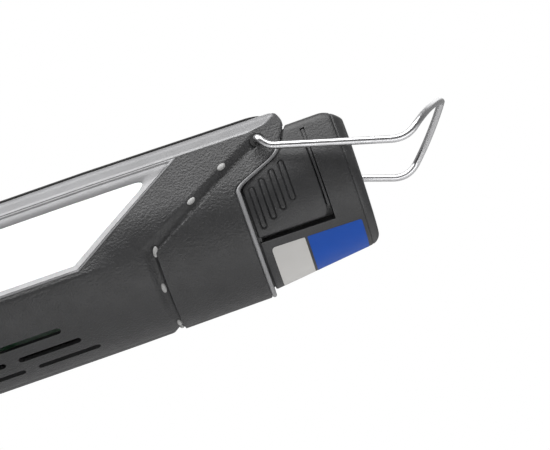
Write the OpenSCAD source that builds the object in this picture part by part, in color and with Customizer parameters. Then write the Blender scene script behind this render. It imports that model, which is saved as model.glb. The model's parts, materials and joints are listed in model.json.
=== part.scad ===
// Cordless work light: an area light in each side, a spot light in the head,
// a swinging wire hanger and a slide-in battery pack.
// +X points to the battery end, +Z up, and the object is symmetric about y = 0.
// Lengths along x are counted from the rim, the plane where the housing ends at the battery,
// and place() then moves everything so that the origin is at the middle of the base.

/* [Housing] */
// Length of the housing in front of the rim
housing_l = 178; // [170:1:200]
// Height of the housing's flat top, where the top pad lies
housing_h = 52.7; // [52:0.1:54]
// Wall thickness of the housing shells
wall = 1.8; // [1.5:0.1:1.8]
// Lean of the flat sides towards the top, in degrees
lean = 14; // [13.5:0.25:14.5]
// Narrowing of each side towards the battery, in degrees
taper = 3.2; // [3:0.1:3.5]
// Width of the stowage groove for the hanger wire
groove_w = 4.6; // [4:0.1:5.4]
// Depth of the stowage groove
groove_d = 1.3; // [1:0.1:1.4]

/* [Lights] */
// Width of the bezel band around each side window
bezel_w = 2.5; // [2:0.1:3]
// Radius of the spot lens
lens_r = 17; // [15:0.5:17.5]
// Number of light-emitting diodes along each side board
led_count = 14; // [8:1:16]

/* [Power button] */
// Length of the power button's cap
button_l = 24; // [18:1:28]
// Width of the power button's cap
button_w = 12; // [9:1:13]
// Travel of the power button
button_travel = 1.2; // [0.8:0.1:1.2]

/* [Hanger] */
// Diameter of the hanger wire
wire_d = 2.3; // [2:0.1:2.4]
// Length of each straight arm of the hanger
arm_l = 42; // [40:0.5:43]
// Height of the rounded tip above its bends
tip_l = 21; // [19:0.5:22]
// Angle of the tip from the arms, in degrees
tip_bend = 59; // [55:1:62]
// Droop of the arms below the horizontal, in degrees
arm_droop = 18; // [14:1:22]

/* [Battery] */
// Length of the pack behind the rim
pack_l = 36.5; // [35:0.5:39]
// Height of the pack's flat top above the base
pack_top = 46.4; // [46:0.1:46.6]
// Rise of the pack's belly towards its end, in degrees
belly_rise = 6; // [5:0.5:6.5]
// Radius of one cell
cell_r = 9.1; // [9:0.05:9.15]
// Length of one cell
cell_l = 65; // [62:1:65]

/* [Hidden] */
$fn = 64;

// Housing section: two belly arcs, a leaning flat side, a sloping shoulder and a flat top.
foot_r = 24;                // lowest arc
foot_z = 23.8;              // its centre, just under its radius, which leaves a narrow flat
foot_end = -43;             // angle where the flank arc takes over
flank_r = 29;
flank_y = (foot_r - flank_r) * cos(foot_end);
flank_z = foot_z + (foot_r - flank_r) * sin(foot_end);
side_low_y = flank_y + flank_r * cos(lean);
side_low_z = flank_z + flank_r * sin(lean);
trim_z = 47.2;              // where the trim starts
trim_y = side_low_y - (trim_z - side_low_z) * tan(lean);
shoulder_y = 16.2;
top_lean = atan2(housing_h - trim_z, trim_y - shoulder_y);
// Front part: the flat side runs down to a crease, and one belly arc closes the section.
crease_z = 20.3;
crease_y = side_low_y + (side_low_z - crease_z) * tan(lean);
belly_sink = 0.2;
belly_r = (pow(crease_y, 2) + pow(crease_z + belly_sink, 2)) / (2 * (crease_z + belly_sink));
belly_z = belly_r - belly_sink;
belly_end = -asin((belly_z - crease_z) / belly_r);
crease_x = -44;             // rear end of the crease, where the sides start to narrow
front_x = -housing_l;
seam = 0.05;                // half the seam between the shells
fit = 0.1;                  // gap between pieces that fit together

// Rim: the outline of the housing's battery end, seen from the side.
notch_z = 31.3;
slant_x = 14.5;
slant_z = 37.7;
tail_x = 19;
tail_z = 47;
collar_w = 1.3;
pack_gap = 0.5;             // between the rim and the pack

// Side window, seen square to the leaning side: x along it, v up it from the trim's lower edge
function side_v(z) = (z - trim_z) / cos(lean);
window_top = side_v(46);
window_low = side_v(21.6);
window_rear = [-16.5, side_v(45.9)];
window_rear_a = -55.8;      // directions that the window's ends face
window_front = [-150, side_v(46)];
window_front_a = 160;

// Hanger
wire_r = wire_d / 2;
pivot_x = 9.9;
pivot_z = 43.9;
jog_l = 4.5;
jog_a = -38.3;
pin_in_y = 16.4;              // inner end of each pivot pin
jog_y = 23.2;               // half width at the arms' roots
bend_y = 27.2;              // half width at the bends
bush_r = 2.3;
jog_u = jog_l * cos(jog_a);
jog_v = jog_l * sin(jog_a);
stow_x = -31.5;             // where the groove crosses the belly

// Battery pack
pack_in = 2.2;              // the pack's section lies this far inside the housing's
pack_narrow = 1.9;          // and each side is moved in by this much
stem_x = -47;
stem_wall = 0.8;
cell_y = 9.2;
cell_top_z = 33.6;
cell_low_z = cell_top_z - cell_y * tan(60);
cell_x = -36;
cap_x = pack_l - 3.2;
pack_floor = foot_z - foot_r + pack_in;
flap_x = 23.5;              // rear edge of the release buttons
flap_z = 14.6;              // lower edge
flap_top = 40.6;
flap_t = 1.2;
flap_slot = 0.7;
flap_room = 2;              // depth of the pocket at its top
flap_low_room = 3.2;        // and at its foot, where the flap travels furthest
hinge_y = 16.1;
hinge_z = 42;
hinge_x0 = 17.9;
hinge_x1 = 22.7;
hinge_r = 1.15;
pin_r = 0.6;
label_t = 0.4;
label_z = 11.4;
label_x0 = 3.2;
label_mid = 14.2;
label_x1 = 32;

// Head
head_z = 26;
seat_x = front_x + 12;      // the bulkhead behind the spot light
screws = [[-58, 8.5], [-105, 8.5], [-155, 8.5], [-163, 43]];
boss_r = 3.6;

// Extreme points along x, for an origin at the middle of the base
hanger_end = pivot_x + (jog_u + arm_l + tip_l * cos(tip_bend)) * cos(arm_droop)
    + (jog_v + tip_l * sin(tip_bend)) * sin(arm_droop) + wire_r;
bumper_l = 1.5;
rim_x = -(front_x - bumper_l + hanger_end) / 2;

// Helpers
module place() { translate([rim_x, 0, 0]) children(); }
module other_side() { mirror([0, 1, 0]) children(); }
module both_sides() {
    children();
    other_side() children();
}
module along_x(x0, x1) { translate([x0, 0, 0]) rotate([90, 0, 90]) linear_extrude(x1 - x0) children(); }
module along_y(y0, y1) { translate([0, y1, 0]) rotate([90, 0, 0]) linear_extrude(y1 - y0) children(); }
module rod_x(x0, x1, r) { translate([x0, 0, 0]) rotate([0, 90, 0]) cylinder(h = x1 - x0, r = r); }
module rod_y(y0, y1, r) { translate([0, y0, 0]) rotate([-90, 0, 0]) cylinder(h = y1 - y0, r = r); }
module block(x, y, z) { translate([x[0], y[0], z[0]]) cube([x[1] - x[0], y[1] - y[0], z[1] - z[0]]); }
// Extrudes an outline drawn on the leaning right side, counted inwards from its surface.
module on_side(depth, thick) {
    translate([0, trim_y, trim_z]) rotate([90 + lean, 0, 0])
        translate([0, 0, depth]) linear_extrude(thick) children();
}

// Sections. Each is set inwards by d.
function arc(cy, cz, r, a0, a1, n) =
    [for (i = [0:n]) let (a = a0 + (a1 - a0) * i / n) [cy + r * cos(a), cz + r * sin(a)]];
function mitre(p, a, b, d) =
    let (k = d / (1 + cos(a - b))) [p[0] - k * (cos(a) + cos(b)), p[1] - k * (sin(a) + sin(b))];
function rest_a(r, z, d) = -90 + acos((z - d) / (r - d));
function upper(d) = [
    mitre([trim_y, trim_z], lean, 90 - top_lean, d),
    mitre([shoulder_y, housing_h], 90 - top_lean, 90, d)
];
function rear_half(d) = concat(
    arc(0, foot_z, foot_r - d, rest_a(foot_r, foot_z, d), foot_end, 3),
    arc(flank_y, flank_z, flank_r - d, foot_end + 11, lean, 4),
    upper(d)
);
function front_half(d) = concat(
    arc(0, belly_z, belly_r - d, rest_a(belly_r, belly_z, d), belly_end - 8, 4),
    [mitre([crease_y, crease_z], belly_end, lean, d)],
    upper(d)
);
function reversed(p) = [for (i = [len(p) - 1:-1:0]) p[i]];
// A solid half section, and a half layer between two depths.
module half_solid(half) { polygon(concat([[0, half[0][1]]], half, [[0, half[len(half) - 1][1]]])); }
module half_layer(outer, inner) {
    polygon(concat(
        [[0, outer[0][1]]], outer, [[0, outer[len(outer) - 1][1]]],
        [[0, inner[len(inner) - 1][1]]], reversed(inner), [[0, inner[0][1]]]
    ));
}
// The rear part of the right side lies along an axis turned inwards by the taper.
module rear_frame() { translate([crease_x, 0, 0]) rotate([0, 0, -taper]) translate([-crease_x, 0, 0]) children(); }
step_l = 1.6;               // the plate that closes the step at the crease's rear end
// The right half of the housing's wall between depths a and b, and the solid inside depth a.
module half_wall(a, b) {
    along_x(front_x, crease_x + step_l) half_layer(front_half(a), front_half(b));
    rear_frame() along_x(crease_x, tail_x + 2) half_layer(rear_half(a), rear_half(b));
}
module half_body(a, x0, x1) {
    intersection() {
        union() {
            if (x0 < crease_x) along_x(front_x - 2, crease_x + step_l) half_solid(front_half(a));
            if (x1 > crease_x) rear_frame() along_x(crease_x, tail_x + 2) half_solid(rear_half(a));
        }
        block([x0, x1], [0, 40], [-2, 70]);
    }
}

// Everything in front of the rim, kept back from it, seen from the side.
module rim_outline(back) {
    polygon([
        [front_x - 9, -9], [-back, -9], [-back, notch_z], [slant_x - back, slant_z],
        [tail_x - back, tail_z], [tail_x - back, housing_h + 9], [front_x - 9, housing_h + 9]
    ]);
}
// The trim's outline from the side: its lower edge climbs to a point at the tail.
module trim_outline() {
    polygon([
        [front_x + 6, trim_z], [7, trim_z], [13, trim_z + 1], [17.4, trim_z + 4],
        [17, housing_h - 1], [14.4, housing_h + 9], [front_x + 6, housing_h + 9]
    ]);
}
module trim_room() { for (x = [0, fit]) translate([x, -fit]) trim_outline(); }
// The side window's outline, set inwards by e.
function meet(a, da, b, db) = let (s = sin(b - a))
    [(da * sin(b) - db * sin(a)) / s, (db * cos(a) - da * cos(b)) / s];
function reach(p, a) = p[0] * cos(a) + p[1] * sin(a);
function window_points(e) = let (
    top = window_top - e,
    low = -window_low - e,
    rear = reach(window_rear, window_rear_a) - e,
    front = reach(window_front, window_front_a) - e
) [
    meet(90, top, window_rear_a, rear), meet(window_rear_a, rear, -90, low),
    meet(-90, low, window_front_a, front), meet(window_front_a, front, 90, top)
];
module window(e) { polygon(window_points(e)); }
module capsule(l, w) {
    square([l - w, w], center = true);
    for (x = [-1, 1]) translate([x * (l - w) / 2, 0]) circle(d = w);
}

// ---- Housing ----
vent_x = [-104, -80];
vent_l = 20;
vent_w = 2.2;
head_l = 8;                 // length of the housing's front that the bumper wraps
spigot_in = 1.6;
pads = [[-2.8, 38.4], [-14.9, 31.2], [-29.6, 20.6], [stow_x + 0.3, 9.3]];
pad_l = 3.6;
pad_w = 2;

module vent_slots() {
    for (x = vent_x, a = [20, 32, 44]) translate([x, 0, belly_z]) rotate([a, 0, 0])
        block([0, vent_l], [-vent_w / 2, vent_w / 2], [-belly_r - 3, -belly_r + wall + 3]);
}
module band(a, b, w) {
    d = b - a;
    translate(a) rotate(atan2(d[1], d[0])) translate([0, -w / 2]) square([norm(d), w]);
    for (p = [a, b]) translate(p) circle(d = w);
}
// The groove runs down the side from the pivot, then straight round the belly.
module groove_cut() {
    on_side(-2, groove_d + 2) band([pivot_x - 2, side_v(43)], [stow_x, side_v(22)], groove_w);
    rear_frame() along_x(stow_x - groove_w / 2, stow_x + groove_w / 2) difference() {
        half_layer(rear_half(-1), rear_half(groove_d));
        translate([0, 24]) square(60);
    }
}
// Straight prisms that cut the pads, and their pockets in the shells, out of the wall.
module pad_prisms(grow) {
    angle = atan2(20.4, 40.3);
    for (i = [0:3]) translate([pads[i][0], 0, pads[i][1]]) rotate([90, i < 3 ? -angle : -90, 0])
        translate([0, 0, -40]) linear_extrude(34) capsule(pad_l + grow, pad_w + grow);
    translate([stow_x + 0.3, 0, -2]) linear_extrude(6) capsule(pad_w + 2 + grow, pad_l + grow);
}
module shell_half() {
    difference() {
        intersection() {
            union() {
                half_wall(0, wall);
                along_x(crease_x, crease_x + step_l) half_layer(front_half(0), front_half(5));
                along_x(front_x, front_x + head_l + 1.2) half_layer(front_half(0), front_half(spigot_in + 1.6));
                along_x(seat_x - 1.5, seat_x + 1.5) half_solid(front_half(0.5));
                rear_frame() along_x(tail_x - 4.5, tail_x - 2) intersection() {
                    half_solid(rear_half(0.5));
                    translate([0, pack_top + 0.4]) square(30);
                }
            }
            block([front_x, tail_x + 1], [seam, 40], [-1, housing_h]);
            along_y(0, 40) difference() {
                rim_outline(collar_w + fit);
                trim_room();
            }
        }
        along_x(front_x - 1, front_x + head_l) half_layer(front_half(-3), front_half(spigot_in));
        translate([0, 0, head_z]) rod_x(front_x - 1, seat_x + 2, lens_r - 1.5);
        vent_slots();
        groove_cut();
        pad_prisms(fit);
        on_side(-3, 9) window(-fit);
        translate([pivot_x, 0, pivot_z]) rod_y(0, 40, bush_r);
    }
}
module bosses(bore) {
    for (p = screws) translate([p[0], 0, p[1]]) difference() {
        rod_y(seam, 13, boss_r);
        rod_y(-1, 14, bore);
    }
}
module right_shell() {
    color([0.20, 0.20, 0.21]) difference() {
        union() {
            shell_half();
            intersection() {
                bosses(1.7);
                half_body(0.5, front_x, crease_x);
            }
        }
        for (p = screws) translate([p[0], 0, p[1]]) rod_y(10, 40, 3);
    }
}
module left_shell() {
    color([0.20, 0.20, 0.21]) other_side() {
        shell_half();
        intersection() {
            bosses(1.25);
            half_body(0.5, front_x, crease_x);
        }
    }
}
module housing_screws() {
    color([0.35, 0.35, 0.37]) for (p = screws) translate([p[0], 0, p[1]]) {
        rod_y(-11, 10, 1.2);
        difference() {
            rod_y(10, 12.2, 2.7);
            rod_y(11, 13, 1.1);
        }
    }
}
module button_plan(grow) { translate([button_x, 0]) capsule(button_l + grow, button_w + grow); }
module top_trim() {
    color([0.68, 0.68, 0.69]) difference() {
        intersection() {
            both_sides() half_wall(0, wall);
            block([front_x + head_l + fit, tail_x], [-40, 40], [trim_z, housing_h + 1]);
            along_y(-40, 40) trim_outline();
        }
        translate([0, 0, 40]) linear_extrude(20) button_plan(0.6);
    }
}
pad_x0 = front_x + 18;
pad_x1 = 14.4;
pad_half_w = 15.2;
pad_end_r = 7;
pad_end_w = pad_half_w - (pad_x1 - pad_end_r - crease_x) * tan(taper);
pad_t = 0.7;
button_x = -95;
pad_front_r = 6;
pad_outline = concat(
    arc(pad_x0 + pad_front_r, pad_front_r - pad_half_w, pad_front_r, 180, 270, 8),
    [[crease_x, -pad_half_w]],
    arc(pad_x1 - pad_end_r, pad_end_r - pad_end_w, pad_end_r, 270, 360, 8),
    arc(pad_x1 - pad_end_r, pad_end_w - pad_end_r, pad_end_r, 0, 90, 8),
    [[crease_x, pad_half_w]],
    arc(pad_x0 + pad_front_r, pad_half_w - pad_front_r, pad_front_r, 90, 180, 8)
);
module top_pad() {
    color([0.07, 0.07, 0.07]) translate([0, 0, housing_h + 0.02]) linear_extrude(pad_t) difference() {
        polygon(pad_outline);
        button_plan(0.6);
    }
}
module rear_collar() {
    color([0.45, 0.45, 0.46]) both_sides() intersection() {
        rear_frame() along_x(-6, tail_x + 2) half_layer(rear_half(0), rear_half(wall));
        block([-6, tail_x + 1], [0, 40], [-1, 60]);
        along_y(-1, 40) difference() {
            rim_outline(0);
            rim_outline(collar_w);
            trim_room();
        }
    }
}
module front_bumper() {
    color([0.10, 0.10, 0.10]) both_sides() intersection() {
        block([front_x - bumper_l, front_x + head_l - fit], [0, 40], [0, 60]);
        along_x(front_x - bumper_l, front_x + head_l) half_layer(front_half(-1.2), front_half(spigot_in - fit));
    }
}

// ---- Side lights ----
bezel_lip = 0.6;            // depth of the bezel's inner edge, which holds the diffuser
board_x = [-146, -64];
board_v = [side_v(25), side_v(43.5)];
module board_blank(depth, thick, in) {
    on_side(depth, thick) translate([board_x[0] + in, board_v[0] + in])
        square([board_x[1] - board_x[0] - 2 * in, board_v[1] - board_v[0] - 2 * in]);
}
module window_bezel() {
    color([0.74, 0.74, 0.75]) difference() {
        on_side(-0.3, 2.6) window(0);
        on_side(-1, 2.2) window(bezel_w);
        on_side(bezel_lip, 4) window(bezel_w - 1);
    }
}
module window_bezel_right() { window_bezel(); }
module window_bezel_left() { other_side() window_bezel(); }
module diffuser() {
    color([0.97, 0.97, 0.97]) {
        on_side(bezel_lip + 0.02, 1.6) window(bezel_w - 1 + fit);
    }
}
module diffuser_right() { diffuser(); }
module diffuser_left() { other_side() diffuser(); }
module led_board_right() { color([0.85, 0.86, 0.84]) board_blank(6.4, 1.6, 0); }
module led_board_left() { other_side() led_board_right(); }
module area_leds_right() {
    step = (board_x[1] - board_x[0] - 8) / (led_count - 1);
    color([0.95, 0.88, 0.45]) on_side(5.6, 0.78)
        for (i = [0:led_count - 1], v = [-0.25, 0.25]) {
            translate([board_x[0] + 4 + i * step, (board_v[0] + board_v[1]) / 2 + v * 18])
                square(2.8, center = true);
        }
}
module area_leds_left() { other_side() area_leds_right(); }
module heat_sink() {
    color([0.75, 0.76, 0.78]) {
        both_sides() board_blank(8.02, 3, 1);
        block([board_x[0] + 2, board_x[1] - 2], [-15, 15], [33, 36]);
        for (x = [button_x - 14, button_x + 10]) block([x, x + 4], [-4, 4], [35, 42.4]);
    }
}
module driver_board() { color([0.10, 0.32, 0.16]) block([-142, -64], [-11, 11], [14, 15.6]); }
module driver_parts() {
    color([0.14, 0.14, 0.15]) translate([0, 0, 15.62]) {
        block([-136, -124], [-6, 6], [0, 7]);
        block([-116, -109], [-4, 4], [0, 1.8]);
        for (y = [-5, 5], x = [-100, -91]) translate([x, y, 0]) cylinder(h = 8, r = 3.2);
        block([-80, -70], [-7, 7], [0, 6]);
    }
}
module wire_harness() {
    color([0.65, 0.08, 0.07]) for (y = [-5, 5]) translate([0, y, 18.6]) rod_x(-69.9, -50.7, 0.9);
}

// ---- Head ----
module at_head() { translate([0, 0, head_z]) children(); }
module turned() { rotate([0, 90, 0]) rotate_extrude() children(); }
module head_bezel() {
    color([0.72, 0.72, 0.73]) difference() {
        both_sides() along_x(front_x - 0.8, front_x + 3.4) half_solid(front_half(spigot_in + 1.7));
        at_head() rod_x(front_x - 2, front_x + 4, lens_r - 1);
        at_head() rod_x(front_x + 0.4, front_x + 4, lens_r + fit);
    }
}
module spot_lens() {
    color([0.85, 0.92, 0.95]) at_head() translate([front_x, 0, 0]) turned()
        polygon([[0, 0.5], [lens_r, 0.5], [lens_r, 2.5], [0, 2.5]]);
}
module lens_seal() {
    color([0.05, 0.05, 0.05]) at_head() translate([front_x + 3.32, 0, 0]) turned()
        translate([lens_r - 0.9, 0]) circle(0.8);
}
cup_x = front_x + 4.3;
cup_l = 12;
cup_r = lens_r - 1.7;
module spot_reflector() {
    color([0.88, 0.89, 0.90]) at_head() translate([cup_x, 0, 0]) turned()
        polygon(concat(
            [for (i = [0:8]) [4.6 + (cup_r - 5.4) * sqrt(1 - i / 8), cup_l * i / 8]],
            [for (i = [8:-1:0]) [5.4 + (cup_r - 5.4) * sqrt(1 - i / 8), cup_l * i / 8 + 0.001]]
        ));
}
module spot_board() { color([0.8, 0.8, 0.8]) at_head() rod_x(cup_x + cup_l + 0.1, cup_x + cup_l + 1.7, 13); }
module spot_led() {
    color([0.97, 0.9, 0.4]) at_head() block([cup_x + cup_l - 1.1, cup_x + cup_l + 0.08], [-2.5, 2.5], [-2.5, 2.5]);
}

// ---- Power button ----
button_rise = 2.5;          // height of the cap above the housing's flat top
switch_z = 44;
module switch_board() { color([0.10, 0.32, 0.16]) block([button_x - 15, button_x + 15], [-8, 8], [42.42, switch_z]); }
module tact_switch() {
    color([0.2, 0.2, 0.2]) translate([button_x, 0, switch_z + 0.02]) {
        block([-3, 3], [-3, 3], [0, 2.2]);
        cylinder(h = 2.7, r = 1.7);
    }
}
module power_button() {
    top = housing_h + button_rise;
    under = housing_h - wall - fit;
    color([0.55, 0.56, 0.58]) translate([button_x, 0, 0]) {
        translate([0, 0, under]) linear_extrude(top - under) capsule(button_l, button_w);
        translate([0, 0, under - 1.2]) linear_extrude(1.2) capsule(button_l + 3, button_w + 3);
        translate([0, 0, under - 2.5]) cylinder(h = 2, r = 2);
    }
}

// ---- Battery bay ----
blade_y = [-5, 0, 5];
module pack_receiver() {
    color([0.13, 0.13, 0.14]) difference() {
        union() {
            both_sides() intersection() {
                along_x(-50.5, -48.5) half_solid(front_half(wall + fit));
                block([-51, -48], [0, 40], [-1, trim_z - 1]);
            }
            block([-49, -47.4], [-9, 9], [27, 39]);
        }
        both_sides() on_side(0, 2.5) window(-fit);
        for (y = blade_y) block([-51, -47], [y - 0.45, y + 0.45], [29.95, 36.05]);
    }
}
module receiver_contacts() {
    color([0.80, 0.70, 0.35]) for (y = blade_y) block([-55, -42.6], [y - 0.4, y + 0.4], [30, 36]);
}
module pivot_bushes() {
    color([0.08, 0.08, 0.08]) both_sides() translate([pivot_x, 0, pivot_z]) difference() {
        rod_y(pin_in_y, 19.3, bush_r - 0.05);
        rod_y(0, 40, wire_r + 0.05);
    }
}
module groove_pads() {
    color([0.72, 0.72, 0.72]) both_sides() intersection() {
        pad_prisms(0);
        rear_frame() along_x(stow_x - 9, 3) half_layer(rear_half(groove_d - 0.7), rear_half(wall - 0.05));
        block([-60, 10], [seam, 40], [-1, 60]);
    }
}

// ---- Hanger wire ----
// Half of the bent wire's centre line, in the hanger's own plane: out of the pivot, down a short
// jog, along the arm, and up over a rounded tip. The corners are rounded with curves.
jog_top = [0, jog_y + 0.1, 0];
jog_end = [jog_u, jog_y, jog_v];
bend = [jog_u + arm_l, bend_y, jog_v];
jog_run = 2.3;              // length of pin and jog that the first curve takes
pin_end_y = jog_top[1] - jog_run - 0.3;
bend_run = 5;               // length of arm and tip that the bend's curve takes
tip_steps = 9;
wire_sides = 10;
function tip_point(t) = [
    bend[0] + tip_l * t * cos(tip_bend), bend_y * pow(1 - pow(t, 2.2), 0.85), bend[2] + tip_l * t * sin(tip_bend)
];
function toward(a, b, l) = a + (b - a) * l / norm(b - a);
function curve(a, b, c, n) = [for (i = [0:n]) let (t = i / n) a * pow(1 - t, 2) + b * 2 * t * (1 - t) + c * pow(t, 2)];
half_wire = concat(
    [[0, pin_end_y, 0]],
    curve(toward(jog_top, [0, 0, 0], jog_run), jog_top, toward(jog_top, jog_end, jog_run), 5),
    curve(toward(jog_end, jog_top, 2), jog_end, toward(jog_end, bend, 2), 3),
    curve(toward(bend, jog_end, bend_run), bend, tip_point(bend_run / tip_l), 6),
    [for (i = [1:tip_steps]) let (t0 = asin(bend_run / tip_l)) tip_point(sin(t0 + (90 - t0) * i / tip_steps))]
);
function unit(v) = v / norm(v);
function heading(p, i) = i == 0 ? [0, 1, 0] : i == len(p) - 1 ? [0, -1, 0] : unit(p[i + 1] - p[i - 1]);
module tube(p, r, sides) {
    across = [-0.3, 0, 0.95]; // never parallel to the wire
    rings = [for (i = [0:len(p) - 1]) let (t = heading(p, i), n = unit(cross(t, across)), m = cross(t, n))
        for (k = [0:sides - 1]) p[i] + r * (n * cos(360 * k / sides) + m * sin(360 * k / sides))];
    last = (len(p) - 1) * sides;
    polyhedron(rings, concat(
        [[for (k = [0:sides - 1]) k], [for (k = [sides - 1:-1:0]) last + k]],
        [for (i = [0:len(p) - 2], k = [0:sides - 1]) let (a = i * sides, b = (k + 1) % sides)
            [a + k, a + sides + k, a + sides + b, a + b]]
    ));
}
module hanger_wire() {
    color([0.83, 0.83, 0.84]) translate([pivot_x, 0, pivot_z]) rotate([0, arm_droop, 0]) {
        both_sides() {
            tube(half_wire, wire_r, wire_sides);
            rod_y(pin_in_y + 0.1, pin_end_y + 0.2, wire_r + 0.02);
        }
    }
}

// ---- Battery pack ----
function corner_arc(cy, cz, r, a) = arc(cy, cz, r, a - 60, a + 60, 10);
module three_cells(r) {
    polygon(concat(
        corner_arc(0, cell_low_z, r, -90), corner_arc(cell_y, cell_top_z, r, 30),
        corner_arc(-cell_y, cell_top_z, r, 150)
    ));
}
// Half of the pack's section: the housing's, set inwards and narrowed.
function pack_half(d) = let (r = foot_r - pack_in - d) concat(
    arc(-pack_narrow, foot_z, r, -acos(pack_narrow / r), foot_end, 3),
    arc(flank_y - pack_narrow, flank_z, flank_r - pack_in - d, foot_end + 11, lean, 5),
    [mitre([trim_y - pack_narrow, trim_z], lean, lean, pack_in + d)]
);
end_top_r = 7;
end_low_r = 3.5;
end_side_r = 5;
end_half_w = 21.2;
end_low_z = 9.3;
// The pack's section lies along an axis that rises towards its end.
module pack_frame() {
    translate([2, 0, pack_floor]) rotate([0, -belly_rise, 0]) translate([-2, 0, -pack_floor]) children();
}
module pack_side_outline() {
    difference() {
        union() {
            translate([-2, -2]) square([pack_l - end_top_r + 2, pack_top + 2]);
            translate([0, end_low_z]) square([pack_l, pack_top - end_top_r - end_low_z]);
            translate([0, 4]) square([pack_l - end_low_r, 8]);
            translate([pack_l - end_top_r, pack_top - end_top_r]) circle(end_top_r);
            translate([pack_l - end_low_r, end_low_z]) circle(end_low_r);
        }
        rim_outline(-pack_gap);
    }
}
module pack_head() {
    intersection() {
        both_sides() pack_frame() along_x(-12, pack_l + 12) half_solid(pack_half(0));
        along_y(-30, 30) pack_side_outline();
        translate([0, 0, -2]) linear_extrude(60) union() {
            translate([-2, -30]) square([pack_l - end_side_r + 2, 60]);
            translate([-2, end_side_r - end_half_w]) square([pack_l + 2, 2 * (end_half_w - end_side_r)]);
            for (s = [-1, 1]) translate([pack_l - end_side_r, s * (end_half_w - end_side_r)])
                circle(end_side_r);
        }
    }
}
// A layer of the pack's right side between two depths.
module pack_layer(a, b) {
    pack_frame() along_x(-12, pack_l + 12) half_layer(pack_half(a), pack_half(b));
}
module flap_outline(grow, drop) {
    intersection() {
        translate([0, flap_z - drop]) square([flap_x + grow, flap_top + grow - flap_z + drop]);
        difference() {
            square([40, 60]);
            rim_outline(-pack_gap - 0.1 + grow);
        }
    }
}
module flap_region(grow, drop) { along_y(5, 40) flap_outline(grow, drop); }
module pack_case() {
    color([0.14, 0.14, 0.14]) difference() {
        union() {
            intersection() {
                pack_head();
                block([-1, cap_x], [-40, 40], [0, 60]);
            }
            along_x(stem_x, 17) three_cells(cell_r + stem_wall);
        }
        along_x(-40.7, 31.5) three_cells(cell_r + 0.1);
        for (y = blade_y) block([stem_x - 1, -41.2], [y - 1.2, y + 1.2], [29, 37]);
        both_sides() {
            intersection() {
                pack_layer(-1, flap_room);
                flap_region(flap_slot, 1.3);
            }
            intersection() {
                pack_layer(-1, flap_low_room);
                flap_region(flap_slot, 1.3);
                block([0, 40], [0, 40], [0, 28]);
            }
            translate([0, hinge_y, hinge_z]) {
                rod_x(hinge_x0 - 0.3, hinge_x1 + 0.3, hinge_r + 0.35);
                rod_x(hinge_x0 - 1, hinge_x1 + 1, pin_r);
                block([hinge_x0 - 0.3, hinge_x1 + 0.3], [-0.3, 8], [-3, 0.8]);
            }
            intersection() {
                pack_layer(-1, 2 * label_t);
                block([label_x0 - 0.2, label_x1 + 0.2], [-1, 40], [0, label_z + 0.2]);
            }
        }
    }
}
module pack_cap() {
    color([0.22, 0.22, 0.23]) intersection() {
        pack_head();
        block([cap_x + seam, pack_l + 1], [-40, 40], [0, 60]);
    }
}
module label_strip(x0, x1) {
    both_sides() intersection() {
        pack_layer(label_t, 2 * label_t - 0.02);
        block([x0, x1], [0, 40], [0, label_z]);
    }
}
module label_grey() { color([0.71, 0.70, 0.69]) label_strip(label_x0, label_mid - 0.4); }
module label_blue() { color([0.08, 0.28, 0.60]) label_strip(label_mid + 0.4, label_x1); }
module cells() {
    color([0.16, 0.42, 0.58]) {
        for (s = [-1, 1]) translate([0, s * (cell_y + 0.05), cell_top_z]) rod_x(cell_x, cell_x + cell_l, cell_r);
        translate([0, 0, cell_low_z]) rod_x(cell_x, cell_x + cell_l, cell_r);
    }
}
module cell_tabs() {
    color([0.78, 0.77, 0.72]) {
        block([cell_x - 0.32, cell_x - 0.02], [-13, 13], [cell_top_z - 3, cell_top_z + 3]);
        intersection() {
            block([cell_x + cell_l + 0.02, cell_x + cell_l + 0.32], [-12, -2], [cell_low_z, cell_top_z + 3]);
            along_x(cell_x + cell_l, cell_x + cell_l + 1) three_cells(cell_r - 1);
        }
    }
}
module pack_board() { color([0.10, 0.32, 0.16]) along_x(-40.2, -39) three_cells(cell_r - 1); }
module pack_terminals() {
    color([0.80, 0.70, 0.35]) for (y = blade_y, s = [-1, 1])
        block([-46, -41.25], [y + s * 0.95 - 0.15, y + s * 0.95 + 0.15], [30, 36]);
}

// ---- Release buttons ----
rib_l = 12.5;
rib_w = 1.5;
ribs = [[14.3, 35], [10.7, 33.3], [7, 31.6], [3.3, 29.9]];
module release_button() {
    difference() {
        union() {
            intersection() {
                pack_layer(0, flap_t);
                flap_region(0, 0);
            }
            intersection() {
                pack_layer(-0.45, 0.6);
                along_y(8, 40) for (p = ribs) translate(p - [0, rib_l / 2]) rotate(90) capsule(rib_l, rib_w);
            }
            translate([0, hinge_y, hinge_z]) rod_x(hinge_x0, hinge_x1, hinge_r);
            translate([0, hinge_y, hinge_z]) block([hinge_x0, hinge_x1], [0.3, 3.2], [-2.1, -0.2]);
        }
        translate([0, hinge_y, hinge_z]) rod_x(hinge_x0 - 1, hinge_x1 + 1, pin_r + 0.05);
    }
}
module release_button_right() { color([0.12, 0.12, 0.12]) release_button(); }
module release_button_left() { color([0.12, 0.12, 0.12]) other_side() release_button(); }
module release_pin_right() {
    color([0.7, 0.7, 0.7]) translate([0, hinge_y, hinge_z]) rod_x(hinge_x0 - 0.95, hinge_x1 + 0.95, pin_r - 0.01);
}
module release_pin_left() { other_side() release_pin_right(); }
module release_spring_right() {
    color([0.75, 0.75, 0.76]) along_x(9, 14) polygon([
        [17.0, 17.5], [17.3, 17.5], [18.8, 21], [18.5, 25], [18.2, 25], [18.5, 21]
    ]);
}
module release_spring_left() { other_side() release_spring_right(); }

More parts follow.
